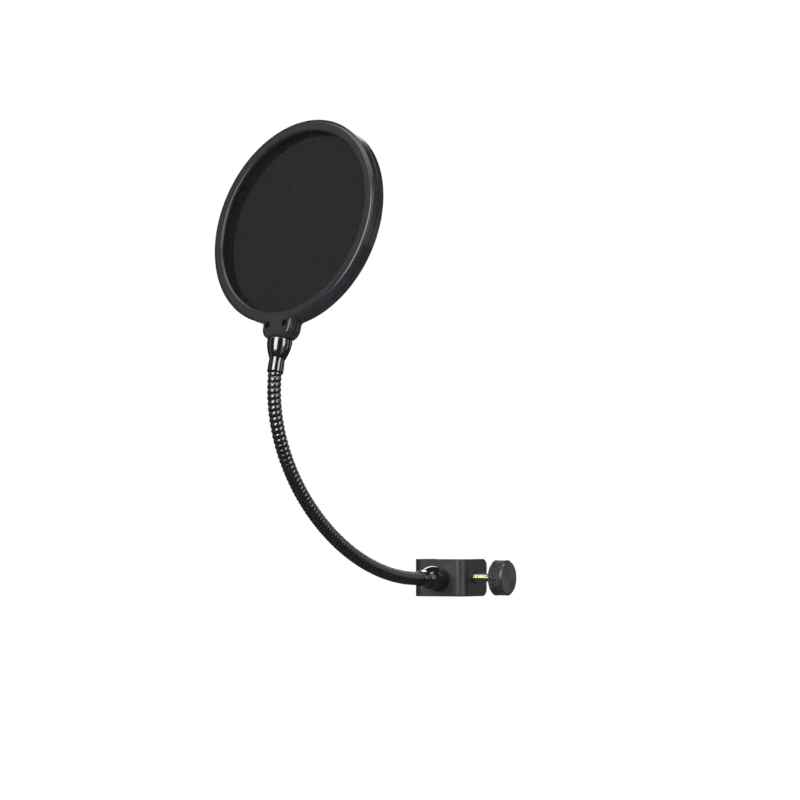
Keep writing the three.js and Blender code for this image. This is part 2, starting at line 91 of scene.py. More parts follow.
HEAD_TWIST = 14.1
TAB_TO_FERRULE = 0.3
TAB_EDGE = 89.6
HOOP_RADIUS, HOOP_INNER_RADIUS = 78.0, 69.3
HOOP_HALF_THICK = 6.8
HOOP_SHOULDER_WIDTH, HOOP_SHOULDER_HEIGHT = 3.2, 2.0
HOOP_SEAT_RADIUS, HOOP_SEAT_DEPTH = 72.0, 3.6
HOOP_PARTING = 0.15
TAB_WIDTH, TAB_CORNER_RADIUS = 27.9, 8.5
TAB_SCREW_SPACING, TAB_SCREW_FROM_EDGE = 16.7, 10.4
TAB_RECESS_RADIUS, TAB_RECESS_DEPTH = 2.6, 3.0
SCREEN_RADIUS = 71.8
STUD_RADIUS = 2.6

# ---------- camera ----------

CAMERA_AZIMUTH, CAMERA_ELEVATION = 28.7, -1.12
CAMERA_DISTANCE = 4.0
CAMERA_AIM = np.array([0.0177, -0.110, 0.130])
CAMERA_SHIFT_RIGHT, CAMERA_SHIFT_UP = 0.0151, 0.0037
FRAME_WIDTH = 0.597  # seen at the aim's distance


def direction(azimuth, elevation):
    a, e = math.radians(azimuth), math.radians(elevation)
    return np.array([math.sin(a) * math.cos(e), -math.cos(a) * math.cos(e), math.sin(e)])


back = direction(CAMERA_AZIMUTH, CAMERA_ELEVATION)
right = direction(CAMERA_AZIMUTH + 90, 0)
up = np.cross(back, right)
target = CAMERA_AIM + CAMERA_SHIFT_RIGHT * right + CAMERA_SHIFT_UP * up
camera = bpy.data.objects.new("camera", bpy.data.cameras.new("camera"))
bpy.context.scene.collection.objects.link(camera)
camera.data.lens = camera.data.sensor_width * CAMERA_DISTANCE / FRAME_WIDTH
camera.location = Vector(target + CAMERA_DISTANCE * back)
camera.rotation_mode = "QUATERNION"
camera.rotation_quaternion = Vector(-back).to_track_quat("-Z", "Y")
bpy.context.scene.camera = camera

# ---------- materials ----------


class Nodes:
    """A small wrapper that adds shader nodes and links them by name."""

    def __init__(self, name):
        self.material = bpy.data.materials.new(name)
        self.material.use_nodes = True
        self.tree = self.material.node_tree
        self.shader = next(n for n in self.tree.nodes if n.type == "BSDF_PRINCIPLED")

    def add(self, kind, inputs=None, **settings):
        node = self.tree.nodes.new("ShaderNode" + kind)
        for key, value in settings.items():
            setattr(node, key, value)
        for key, value in (inputs or {}).items():
            if isinstance(value, bpy.types.NodeSocket):
                self.tree.links.new(value, node.inputs[key])
            else:
                node.inputs[key].default_value = value
        return node

    def to_shader(self, **sockets):
        for key, socket in sockets.items():
            self.tree.links.new(socket, self.shader.inputs[key.replace("_", " ")])

    def math(self, operation, a, b=0.0):
        """A math node's result. The third input, which MULTIPLY_ADD adds, keeps its default of 0.5."""
        return self.add("Math", {0: a, 1: b}, operation=operation).outputs[0]

    def noise(self, vector, scale, detail=3.0):
        inputs = {"Vector": vector, "Scale": scale, "Detail": detail}
        return self.add("TexNoise", inputs).outputs["Fac"]

    def spread(self, value, low, high):
        """value, which lies about 0.5, as a number from low to high"""
        inputs = {"Value": value, "From Min": 0.3, "From Max": 0.7, "To Min": low, "To Max": high}
        return self.add("MapRange", inputs).outputs["Result"]


def rgba(color, factor=1.0):
    return [min(1.0, c * factor) for c in color] + [1.0]


def surface(name, color, roughness, metallic=0.0, specular=0.5, ior=1.5, vary=0.12, cloud=90.0, bumps=()):
    """A procedural finish: cloudy colour and roughness, and bumps (scale per metre, height in metres)."""
    n = Nodes(name)
    place = n.add("TexCoord").outputs["Object"]
    clouds = n.noise(place, cloud, 4.0)
    mix = n.add("Mix", data_type="RGBA")
    n.tree.links.new(n.spread(clouds, 0.0, 1.0), mix.inputs["Factor"])
    mix.inputs["A"].default_value = rgba(color, 1 - vary)
    mix.inputs["B"].default_value = rgba(color, 1 + vary)
    low, high = roughness
    fine = n.noise(place, cloud * 7, 3.0)
    n.to_shader(Base_Color=mix.outputs["Result"], Roughness=n.spread(fine, low, high))
    n.shader.inputs["Metallic"].default_value = metallic
    n.shader.inputs["Specular IOR Level"].default_value = specular
    n.shader.inputs["IOR"].default_value = ior
    for scale, height in bumps:
        add_bump(n, n.noise(place, scale, 2.0), height)
    return n


def add_bump(n, height_socket, distance):
    bump = n.add("Bump", {"Height": height_socket, "Distance": distance, "Strength": 1.0})
    below = n.shader.inputs["Normal"].links
    if below:
        n.tree.links.new(below[0].from_socket, bump.inputs["Normal"])
    n.tree.links.new(bump.outputs["Normal"], n.shader.inputs["Normal"])


def grooves(n, coordinate, pitch):
    """A sine wave from 0 to 1 of that pitch along a coordinate in metres."""
    wave = n.math("SINE", n.math("MULTIPLY", coordinate, 2 * math.pi / pitch))
    return n.math("MULTIPLY_ADD", wave, 0.5)


NYLON_COVER = 0.66  # how much each of a screen's two faces hides; the rest is the holes in the mesh
NYLON_THREAD = 0.0009  # metres


def woven(name):
    """Fine nylon in plain weave, laid out on the piece's UV map, which is in metres."""
    n = Nodes(name)
    split = n.add("SeparateXYZ", {"Vector": n.add("TexCoord").outputs["UV"]})
    u, v = split.outputs[0], split.outputs[1]
    warp = n.math("SINE", n.math("MULTIPLY", u, 2 * math.pi / NYLON_THREAD))
    weft = n.math("SINE", n.math("MULTIPLY", v, 2 * math.pi / NYLON_THREAD))
    weave = n.math("MULTIPLY_ADD", n.math("MULTIPLY", warp, weft), 0.5)
    place = n.add("TexCoord").outputs["UV"]
    ripple_a = n.noise(n.add("Mapping", {"Vector": place, "Scale": (16, 150, 1)}).outputs[0], 1.0, 3.0)
    ripple_b = n.noise(place, 40.0, 3.0)
    tone = n.math("ADD", n.math("MULTIPLY", ripple_a, 0.45), n.math("MULTIPLY", ripple_b, 0.3))
    tone = n.math("ADD", tone, n.math("MULTIPLY", weave, 0.25))
    ramp = n.add("ValToRGB", {"Fac": tone})
    ramp.color_ramp.elements[0].position = 0.3
    ramp.color_ramp.elements[0].color = (0.0010, 0.0009, 0.0022, 1)
    ramp.color_ramp.elements[1].position = 0.72
    ramp.color_ramp.elements[1].color = (0.0038, 0.0035, 0.0056, 1)
    n.to_shader(Base_Color=ramp.outputs["Color"], Roughness=n.spread(weave, 0.62, 0.8))
    n.shader.inputs["Specular IOR Level"].default_value = 0.14
    n.shader.inputs["Alpha"].default_value = NYLON_COVER
    n.shader.inputs["Sheen Weight"].default_value = 0.02
    add_bump(n, weave, 0.00006)
    add_bump(n, ripple_a, 0.003)
    return n


powder_coat = surface(
    "powder_coat", (0.0050, 0.0054, 0.0080), (0.42, 0.50), specular=0.95,
    bumps=((1100.0, 0.00002), (4200.0, 0.00001)),
)
gloss_black = surface(
    "gloss_black", (0.004, 0.0043, 0.0046), (0.08, 0.14), specular=1.0, ior=1.65, bumps=((160.0, 0.00001),)
)
hose_black = surface(
    "hose_black", (0.005, 0.005, 0.0056), (0.14, 0.24), specular=1.0, ior=1.65, cloud=300.0,
    bumps=((900.0, 0.00001),),
)
hoop_plastic = surface(
    "hoop_plastic", (0.0128, 0.0124, 0.0146), (0.20, 0.28), bumps=((1800.0, 0.000002), (60.0, 0.00003))
)
knob_plastic = surface(
    "knob_plastic", (0.015, 0.015, 0.0165), (0.27, 0.36), specular=0.8, bumps=((2500.0, 0.000008),)
)
foot_plastic = surface("foot_plastic", (0.02, 0.02, 0.022), (0.4, 0.55), bumps=((2200.0, 0.00001),))
brass = surface(
    "brass", (0.82, 0.77, 0.50), (0.20, 0.36), metallic=1.0, cloud=500.0, bumps=((3000.0, 0.000006),)
)
zinc = surface(
    "zinc", (0.55, 0.56, 0.58), (0.28, 0.42), metallic=1.0, cloud=400.0, bumps=((2500.0, 0.000008),)
)
rubber = surface("rubber", (0.012, 0.012, 0.0125), (0.75, 0.9), bumps=((1500.0, 0.00004),))
black_oxide = surface(
    "black_oxide", (0.03, 0.03, 0.032), (0.3, 0.45), metallic=0.8, cloud=600.0, bumps=((3000.0, 0.00001),)
)
nylon = woven("nylon")

KNOB_TURNING_PITCH, KNOB_TURNING_DEPTH = 0.0006, 0.000006  # the lathe's marks on the face, in metres

knob_face = surface("knob_face", (0.024, 0.024, 0.0255), (0.30, 0.42))
knob_place = knob_face.add("TexCoord").outputs["Object"]
knob_flat = knob_face.add("VectorMath", {0: knob_place, 1: (0, 1, 1)}, operation="MULTIPLY").outputs[0]
knob_radius = knob_face.add("VectorMath", {0: knob_flat}, operation="LENGTH").outputs["Value"]
add_bump(knob_face, grooves(knob_face, knob_radius, KNOB_TURNING_PITCH), KNOB_TURNING_DEPTH)
knob_face.shader.inputs["Anisotropic"].default_value = 0.85
knob_face.to_shader(Tangent=knob_face.add("Tangent", direction_type="RADIAL", axis="X").outputs[0])

# ---------- mesh helpers: these take millimetres and write metres ----------

SHARP_ANGLE = math.radians(32)


def unit(v):
    return v / np.linalg.norm(v)


def turn_outward(mesh):
    closed = bmesh.new()
    closed.from_mesh(mesh)
    bmesh.ops.recalc_face_normals(closed, faces=closed.faces)
    closed.to_mesh(mesh)
    closed.free()


def piece(name, verts, faces, material, sharp=SHARP_ANGLE):
    mesh = bpy.data.meshes.new(name)
    mesh.from_pydata((np.asarray(verts, float) * MM).tolist(), [], [list(map(int, f)) for f in faces])
    mesh.validate()
    if sharp:
        turn_outward(mesh)
    mesh.polygons.foreach_set("use_smooth", [True] * len(mesh.polygons))
    if sharp:
        mesh.set_sharp_from_angle(angle=sharp)
    mesh.materials.append(material.material)
    made = bpy.data.objects.new(name, mesh)
    bpy.context.scene.collection.objects.link(made)
    return made


def arc(centre, radius, a0, a1, steps):
    """Points on an arc, angles in degrees"""
    angles = np.radians(np.linspace(a0, a1, steps + 1))
    return [(centre[0] + radius * math.cos(a), centre[1] + radius * math.sin(a)) for a in angles]


SUPPORT = 0.12  # a point this far past each end of a fillet keeps the flats beside it flat in shading


def filleted(corners, closed=True, steps=5):
    """A polyline of (x, y, fillet radius) with its corners rounded."""
    out, count = [], len(corners)
    for i, (x, y, radius) in enumerate(corners):
        here = np.array([x, y], float)
        if radius <= 0 or (not closed and i in (0, count - 1)):
            out.append(here)
            continue
        before = np.array(corners[i - 1][:2], float) - here
        after = np.array(corners[(i + 1) % count][:2], float) - here
        to_a, to_b = unit(before), unit(after)
        half = math.acos(max(-1.0, min(1.0, float(to_a @ to_b)))) / 2
        reach = radius / math.tan(half)
        centre = here + unit(to_a + to_b) * radius / math.sin(half)
        a, b = here + to_a * reach, here + to_b * reach
        extra = min(SUPPORT, 0.2 * min(np.linalg.norm(before), np.linalg.norm(after)))
        out.append(a + to_a * extra)
        start, end = a - centre, b - centre
        turn = math.atan2(start[0] * end[1] - start[1] * end[0], float(start @ end))
        for k in range(steps + 1):
            t = turn * k / steps
            c, s = math.cos(t), math.sin(t)
            out.append(centre + np.array([c * start[0] - s * start[1], s * start[0] + c * start[1]]))
        out.append(b + to_b * extra)
    return np.array(out)


def basis(axis, reference):
    """Two directions across an axis, right-handed with it, the first nearest to the reference."""
    axis = unit(np.asarray(axis, float))
    across = unit(np.asarray(reference, float) - axis * float(np.dot(reference, axis)))
    return axis, across, np.cross(axis, across)


def loft(rings, close_rings=False):
    """Vertices and quads through rings of equal size; a ring may be a single point to close an end."""
    verts, index = [], []
    for ring in rings:
        ring = np.atleast_2d(ring)
        index.append(range(len(verts), len(verts) + len(ring)))
        verts.extend(ring)
    faces = []
    pairs = list(zip(index, index[1:]))
    if close_rings:
        pairs.append((index[-1], index[0]))
    for a, b in pairs:
        size = max(len(a), len(b))
        for k in range(size):
            m = (k + 1) % size
            if len(a) == 1:
                faces.append((a[0], b[m], b[k]))
            elif len(b) == 1:
                faces.append((a[k], a[m], b[0]))
            else:
                faces.append((a[k], a[m], b[m], b[k]))
    return verts, faces


def end_caps(verts, size):
    """Faces that close the first and last ring of an open loft."""
    return [tuple(range(size)), tuple(range(len(verts) - 1, len(verts) - size - 1, -1))]


def points_of(profile):
    return [tuple(p) for p in profile]


def turned(
    name, origin, axis, profile, material, sides=64, closed=False, reference=Z, radius_at=None
):
    """A body turned about an axis from (radius, height) pairs, listed upwards along the outside.

    radius_at(angle, radius, height) may change the radius, as for knurls and sockets."""
    axis, e1, e2 = basis(axis, reference)
    angles = 2 * np.pi * np.arange(sides) / sides
    ring_dirs = np.cos(angles)[:, None] * e1 + np.sin(angles)[:, None] * e2
    rings = []
    for r, height in profile:
        centre = np.asarray(origin, float) + height * axis
        if r <= 1e-9:
            rings.append(centre[None])
            continue
        radii = np.full(sides, float(r))
        if radius_at is not None:
            radii = radius_at(angles, float(r), float(height))
        rings.append(centre + radii[:, None] * ring_dirs)
    verts, faces = loft(rings, close_rings=closed)
    return piece(name, verts, faces, material)


def cut(target_piece, *cutters):
    """Removes the cutters from a piece, and deletes them."""
    for cutter in cutters:
        modifier = target_piece.modifiers.new("cut", "BOOLEAN")
        modifier.operation, modifier.solver, modifier.object = "DIFFERENCE", "MANIFOLD", cutter
    bpy.context.view_layer.update()
    depsgraph = bpy.context.evaluated_depsgraph_get()
    mesh = bpy.data.meshes.new_from_object(target_piece.evaluated_get(depsgraph))
    old = target_piece.data
    target_piece.modifiers.clear()
    target_piece.data = mesh
    mesh.polygons.foreach_set("use_smooth", [True] * len(mesh.polygons))
    mesh.set_sharp_from_angle(angle=SHARP_ANGLE)
    while len(mesh.materials) > 1:
        mesh.materials.pop()
    mesh.polygons.foreach_set("material_index", [0] * len(mesh.polygons))
    name = old.name
    bpy.data.meshes.remove(old)
    mesh.name = name
    for cutter in cutters:
        bpy.data.objects.remove(cutter)


DRILL_REFERENCE = (0.31, 0.17, 0.93)  # a direction along none of the parts' own axes


def drill(origin, axis, radius, length, sides=40):
    profile = [(0, 0), (radius, 0), (radius, length), (0, length)]
    return turned(
        "drill", origin, axis, profile, zinc, sides=sides, reference=DRILL_REFERENCE
    )


def place(made, body, *nodes):
    """The piece rides a body and stands for CAD nodes."""
    if nodes:
        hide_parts(*nodes)
    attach(made, body)
    return made


# ---------- clamp bracket and liner ----------


def strap_path():
    """The strap's outer line in plan from the end of one leg to the other: points and outward normals."""
    corners = [
        (JAW_OUTER_X, LEG_END_Y, 0),
        (JAW_OUTER_X, BASE_OUTER_Y, BEND_RADIUS),
        (LEG_OUTER_X, BASE_OUTER_Y, BEND_RADIUS),
        (LEG_OUTER_X, LEG_END_Y, 0),
    ]
    line = filleted(corners, closed=False, steps=20)
    dense = [line[0]]
    for a, b in zip(line, line[1:]):
        parts = max(1, int(np.linalg.norm(b - a) / 0.7))
        dense += [a + (b - a) * (k + 1) / parts for k in range(parts)]
    line = np.array(dense)
    tangent = np.gradient(line, axis=0)
    tangent /= np.linalg.norm(tangent, axis=1)[:, None]
    return line, np.stack([tangent[:, 1], -tangent[:, 0]], axis=1)


def rounding(radius, gap):
    """How far a rounded end of that radius has drawn in, at a gap from its tip."""
    return radius - math.sqrt(max(0.0, radius**2 - max(0.0, radius - gap) ** 2))


def bracket():
    edge = 0.45  # rounding of the strap's edges
    overrun = 2  # how far the drills start before the strap and end after it
    line, normal = strap_path()
    along_line = np.concatenate([[0], np.cumsum(np.linalg.norm(np.diff(line, axis=0), axis=1))])
    total = along_line[-1]
    ends = [edge * (1 - math.cos(a)) for a in np.linspace(0, math.pi / 2, 5)]
    lead = np.concatenate([ends, np.linspace(0.8, LEG_CORNER_RADIUS, 12)])
    stations = np.unique(np.round(np.concatenate([lead, total - lead, along_line]), 6))
    stations = stations[np.concatenate([[True], np.diff(stations) > 0.03])]
    rings = []
    for s in stations:
        p = np.array([np.interp(s, along_line, line[:, k]) for k in (0, 1)])
        n = unit(np.array([np.interp(s, along_line, normal[:, k]) for k in (0, 1)]))
        gap = min(s, total - s)
        half = STRAP_HEIGHT / 2 - rounding(LEG_CORNER_RADIUS, gap)
        pinch = rounding(edge, gap)
        corner = edge - pinch * 0.99
        section = filleted(
            [
                (-pinch, -half, corner),
                (-pinch, half, corner),
                (pinch - STRAP_THICK, half, corner),
                (pinch - STRAP_THICK, -half, corner),
            ],
            steps=4,
        )
        ring = [[p[0] + d * n[0], p[1] + d * n[1], z] for d, z in section]
        rings.append(np.array(ring))
    verts, faces = loft(rings)
    faces += end_caps(verts, len(rings[0]))
    made = piece("bracket_strap", verts, faces, powder_coat)
    through = STRAP_THICK + 2 * overrun
    cut(
        made,
        drill((LEG_OUTER_X - STRAP_THICK - overrun, 0, 0), X, NUT_HOLE_RADIUS, through),
        drill((BASE_X, BASE_OUTER_Y - overrun, 0), Y, BOLT_HOLE_RADIUS, through),
    )
    return made


def rounded_plate(name, outline, depth, edge, to_world, material):
    """A plate with rounded edges from a convex outline, depth along the third axis of to_world."""
    outline = np.array(outline)
    tangent = np.roll(outline, -1, axis=0) - np.roll(outline, 1, axis=0)
    tangent /= np.linalg.norm(tangent, axis=1)[:, None]
    inward = np.stack([-tangent[:, 1], tangent[:, 0]], axis=1)
    steps = [(edge * (1 - math.sin(a)), edge * (1 - math.cos(a))) for a in np.linspace(0, math.pi / 2, 5)]
    levels = steps + [(d, depth - z) for d, z in reversed(steps)]
    levels = [(edge + SUPPORT, 0.0), *levels, (edge + SUPPORT, depth)]
    rings = [np.array([to_world(p[0], p[1], z) for p in outline + inward * d]) for d, z in levels]
    middle = outline.mean(axis=0)
    first, last = to_world(*middle, 0.0), to_world(*middle, depth)
    verts, faces = loft([np.array([first]), *rings, np.array([last])])
    return piece(name, verts, faces, material)


def jaw_liner():
    low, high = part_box("jaw_liner")
    (x0, y0, z0), (x1, y1, z1) = (np.array(corner) / MM for corner in (low, high))
    corner = 2.5
    outline = filleted([(y0, z0, corner), (y1, z0, corner), (y1, z1, corner), (y0, z1, corner)], steps=8)
    return rounded_plate(
        "liner_pad", outline, x1 - x0, 0.3, lambda y, z, d: (x0 + d, y, z), rubber
    )


place(bracket(), "clamp", "clamp_bracket")
place(jaw_liner(), "clamp", "jaw_liner")

# ---------- screw, nut, knob and foot ----------


def press_nut():
    bore, flange_radius, shank_radius, flange_thick = 3.15, 6.5, 4.4, 1.5
    flange_x, shank_end = LEG_OUTER_X - STRAP_THICK - flange_thick - 0.05, flange_thick + STRAP_THICK
    profile = filleted(
        [
            (bore, 0, 0.25),
            (flange_radius, 0, 0.3),
            (flange_radius, flange_thick, 0.3),
            (shank_radius, flange_thick, 0.1),
            (shank_radius, shank_end, 0.3),
            (bore, shank_end, 0.25),
        ],
        steps=3,
    )
    return turned(
        "press_nut_body", (flange_x, 0, 0), X, profile, black_oxide, sides=48, closed=True
    )


def thread_radius(phase):
    """Radius below the crest of an M6 thread across one pitch, phase 0 to 1, with a flat crest and root."""
    depth, flat = 0.54, 0.12
    slope = np.clip((np.abs(phase - 0.5) - flat / 2) / (0.5 - flat), 0, 1)
    return depth * slope


def clamp_screw():
    end = KNOB_INNER_X + KNOB_BORE_DEPTH - 0.2
    heights = np.arange(SCREW_SHOULDER_X, end, THREAD_PITCH / 12)

    def radius_at(angles, radius, height):
        if radius <= PIN_RADIUS + 0.1:
            return np.full(len(angles), radius)
        phase = (height / THREAD_PITCH - angles / (2 * np.pi)) % 1.0
        runout = max(0.0, 1.0 - (height - SCREW_SHOULDER_X) / 0.6)  # the thread fades out at the shoulder
        return np.minimum(SCREW_RADIUS - thread_radius(phase), SCREW_RADIUS - 0.5 * runout)

    tip = SCREW_SHOULDER_X - PIN_LENGTH
    chamfer = 0.3
    profile = [(0, tip), (PIN_RADIUS - chamfer, tip), (PIN_RADIUS, tip + chamfer)]
    profile += [(PIN_RADIUS, SCREW_SHOULDER_X - 0.02)]
    profile += [(SCREW_RADIUS, x) for x in heights] + [(0, heights[-1] + 0.02)]
    return turned(
        "threaded_screw", (0, 0, 0), X, profile, brass, sides=40, radius_at=radius_at
    )


def knob():
    ridges, knurl_depth, chamfer, back_chamfer = 36, 0.75, 1.35, 1.0
    low, high = back_chamfer, KNOB_THICK - chamfer
    bore = SCREW_RADIUS + 0.12
    outline = [(0, KNOB_BORE_DEPTH), (bore, KNOB_BORE_DEPTH), (bore, 0.3), (bore + 0.3, 0)]
    back_rim = filleted(
        [(bore + 3, 0, 0), (KNOB_RADIUS - 1.1, 0, 0.3), (KNOB_RADIUS, back_chamfer, 0)],
        closed=False,
        steps=3,
    )
    side = [(KNOB_RADIUS, h) for h in np.linspace(low, high, 44)]
    front = filleted(
        [(KNOB_RADIUS, high, 0), (KNOB_RADIUS - chamfer, KNOB_THICK, 0.3), (0.5, KNOB_THICK, 0)],
        closed=False,
        steps=4,
    )
    profile = outline + points_of(back_rim[:-1]) + side + points_of(front[1:]) + [(0, KNOB_THICK)]

    def radius_at(angles, radius, height):
        if radius < KNOB_RADIUS - 1e-6:
            return np.full(len(angles), radius)
        turns = ridges * angles / (2 * np.pi)
        slant = (height - low) / (high - low) * 4.0  # ridges passed from the back to the front
        a = np.abs(2 * ((turns + slant) % 1.0) - 1)
        b = np.abs(2 * ((turns - slant) % 1.0) - 1)
        fade = min(1.0, (height - low) / 0.25, (high - height) / 0.25)
        return radius - knurl_depth * max(0.0, fade) * np.maximum(a, b)

    made = turned(
        "knurled_knob", (KNOB_INNER_X, 0, 0), X, profile, knob_plastic,
        sides=ridges * 12, radius_at=radius_at,
    )
    made.data.materials.append(knob_face.material)
    front_x = (KNOB_INNER_X + KNOB_THICK) * MM
    for polygon in made.data.polygons:
        if polygon.center.x > front_x - 0.00012:
            polygon.material_index = 1
    return made


def pressure_foot():
    length, socket_end = 4.6, 2.2
    wide, narrow, rim, bore = 7, 5.8, 4, 2.15
    profile = filleted(
        [
            (rim, 0, 0),
            (wide, 0, 0.3),
            (wide, length - 1.2, 0.5),
            (narrow, length, 0.5),
            (bore, length, 0.2),
            (bore, socket_end, 0),
            (rim, socket_end, 0),
        ],
        steps=4,
    )
    return turned(
        "pressure_foot_body", (FOOT_FRONT_X, 0, 0), X, profile, foot_plastic,
        sides=56, closed=True,
    )


def foot_pad():
    radius, thick = 6.6, FOOT_FRONT_X - 0.1 - TUBE_DIAMETER
    profile = filleted(
        [(0, 0, 0), (radius, 0, 0.25), (radius, thick, 0.15), (0, thick, 0)], closed=False, steps=4
    )
    return turned("pressure_pad", (TUBE_DIAMETER, 0, 0), X, profile, rubber, sides=56)


place(press_nut(), "clamp", "press_nut")
place(clamp_screw(), "screw", "clamp_screw")
place(knob(), "screw", "knob")
place(pressure_foot(), "foot", "pressure_foot")
place(foot_pad(), "foot", "foot_pad")

# ---------- bolt and ferrules ----------


def hexagon(angles, across_flats):
    return across_flats / 2 / np.cos((angles % (np.pi / 3)) - np.pi / 6)


def neck_bolt():
    seat = BASE_OUTER_Y + STRAP_THICK + 1.2
    shank, length, head_radius, head = 2.4, 13.0, 4.6, 2.6
    socket_radius, socket_floor, key_width = 2.3, 1.0, 4.0
    profile = [(0, -length), (2.0, -length), (shank, 0.4 - length), (shank, 0)]
    rim = filleted(
        [(shank, 0, 0), (head_radius, 0, 0.2), (head_radius, head, 0.5), (2.6, head, 0)],
        closed=False,
        steps=4,
    )
    profile += points_of(rim[1:])
    profile += [(socket_radius, head - 0.15), (socket_radius - 0.01, socket_floor), (0, socket_floor - 0.3)]

    def radius_at(angles, radius, height):
        inside = radius < socket_radius + 0.05 and height > 0.5
        return hexagon(angles, key_width) if inside else np.full(len(angles), radius)

    return turned(
        "neck_bolt_body", (BASE_X, seat, 0), Y, profile, zinc, sides=48, radius_at=radius_at
    )


def lock_washer():
    """A split spring washer: a bar bent round, whose two ends stand a little apart."""
    inner, outer, thick, gap = 2.6, 5.2, 1.0, 8
    base_y = BASE_OUTER_Y + STRAP_THICK + 0.1
    corners = [(inner, 0), (outer, 0), (outer, thick), (inner, thick)]
    section = filleted([(*corner, 0.12) for corner in corners], steps=2)
    rings = []
    for a in np.radians(np.linspace(gap / 2, 360 - gap / 2, 60)):
        out = math.cos(a) * X + math.sin(a) * Z
        rings.append(np.array([np.array([BASE_X, base_y + h, 0]) + r * out for r, h in section]))
    verts, faces = loft(rings)
    faces += end_caps(verts, len(section))
    return piece("lock_washer_body", verts, faces, zinc)


FLARE_SPAN, FLARE_POWER = 0.80, 1.8  # how far along the flare its bell comes down, and how round it is
MOUTH_RADIUS, MOUTH_DEPTH = 5.3, 4.0  # the hole in a ferrule's collar that the hose goes into


def ferrule(name, origin, axis, base):
    """A bell-shaped ferrule that stands on its wide end at the origin, with its collar along the axis."""
    top = base + FERRULE_FLARE + COLLAR_LENGTH
    foot = filleted([(0, 0, 0), (FERRULE_RADIUS, 0, 0.45), (FERRULE_RADIUS, base, 0)], closed=False)
    fall = FERRULE_RADIUS - FERRULE_WAIST
    bell = [
        (FERRULE_RADIUS - fall * (u / FLARE_SPAN) ** FLARE_POWER, base + FERRULE_FLARE * u)
        for u in np.linspace(0, FLARE_SPAN, 25)
    ]
    neck = base + FERRULE_FLARE
    flare = bell + [(FERRULE_WAIST, neck)]
    collar = filleted(
        [
            (FERRULE_WAIST, neck + 0.02, 0),
            (COLLAR_RADIUS, neck + 0.25, 0.25),
            (COLLAR_RADIUS, top, 0.35),
            (MOUTH_RADIUS, top, 0.3),
            (MOUTH_RADIUS, top - MOUTH_DEPTH, 0),
            (0, top - MOUTH_DEPTH, 0),
        ],
        closed=False,
        steps=4,
    )
    profile = points_of(foot) + flare[1:] + points_of(collar)
    return turned(name, origin, axis, profile, gloss_black, sides=72, reference=X)


swivel = joints["head_swivel"]
stem = unit(np.array(swivel["axis"], float))
stem_top = np.array(swivel["pos_m"]) / MM
place(neck_bolt(), "clamp", "neck_bolt")
place(lock_washer(), "clamp", "lock_washer")
lower_ferrule = ferrule("lower_ferrule_body", (BASE_X, FERRULE_LOWER_Y, 0), -Y, FERRULE_BASE_LOWER)
place(lower_ferrule, "clamp", "lower_ferrule")
place(ferrule("upper_ferrule_body", stem_top, -stem, FERRULE_BASE_UPPER), "neck_tip", "upper_ferrule")

# ---------- gooseneck: a ridged hose along one curve, cut into a section for each hinge ----------


def neck_order(hinge):
    """The neck's hinges turn neck_link_01, neck_link_02 and so on, and the last turns neck_tip."""
    return HOSE_LINKS + 1 if hinge["child"] == "neck_tip" else int(hinge["child"][-2:])


neck_hinges = sorted((j for name, j in joints.items() if name.startswith("neck_")), key=neck_order)
hinges = [np.array(hinge["pos_m"]) / MM for hinge in neck_hinges]

RIDGE_PITCH = 4.0
CREST_RADIUS = 5.2
CREST_ROUNDING = 2.9  # radius of each ridge's cross-section
RIDGE_HALF_WIDTH = 1.74
GROOVE_RADIUS = 4.5  # at the bottom of the V between the ridges
RIDGE_STEPS = 12
HOSE_SIDES = 40
HOSE_INSERT = 3.2  # how far the hose goes into each ferrule
HOSE_RUN_ON = 10.0  # how far the centreline is drawn past the first and last hinges


def neck_curve():
    """The hose's centreline: points and lengths along it, run on straight into the ferrules."""
    lean = math.radians(NECK_END_LEAN)
    end_direction = np.array([0, math.sin(lean), math.cos(lean)])
    p0, p3 = hinges[0], hinges[-1]
    p1, p2 = p0 - NECK_HANDLE_LOWER * Y, p3 - NECK_HANDLE_UPPER * end_direction
    t = np.linspace(0, 1, 4001)[:, None]
    points = (1 - t) ** 3 * p0 + 3 * (1 - t) ** 2 * t * p1 + 3 * (1 - t) * t**2 * p2 + t**3 * p3
    points = np.vstack([p0 + HOSE_RUN_ON * Y, points, p3 + HOSE_RUN_ON * end_direction])
    steps = np.linalg.norm(np.diff(points, axis=0), axis=1)
    return points, np.concatenate([[0], np.cumsum(steps)]) - HOSE_RUN_ON


def at_length(along, length, values):
    """The centreline's points or tangents, as values, at distances along it."""
    return np.stack([np.interp(along, length, values[:, k]) for k in range(3)], axis=1)


def ridge_profile():
    """One pitch as (along, radius, slope before, slope after): a round ridge, then its V-groove."""
    rows = []
    for along in np.linspace(-RIDGE_HALF_WIDTH, RIDGE_HALF_WIDTH, RIDGE_STEPS + 1):
        rise = math.sqrt(CREST_ROUNDING**2 - along**2)
        slope = -along / rise
        rows.append([along, CREST_RADIUS - CREST_ROUNDING + rise, slope, slope])
    groove_half = RIDGE_PITCH / 2 - RIDGE_HALF_WIDTH
    steep = (rows[0][1] - GROOVE_RADIUS) / groove_half
    rows[-1][3], rows[0][2] = -steep, steep
    rows.append([RIDGE_PITCH / 2, GROOVE_RADIUS, -steep, steep])
    return np.array(rows)


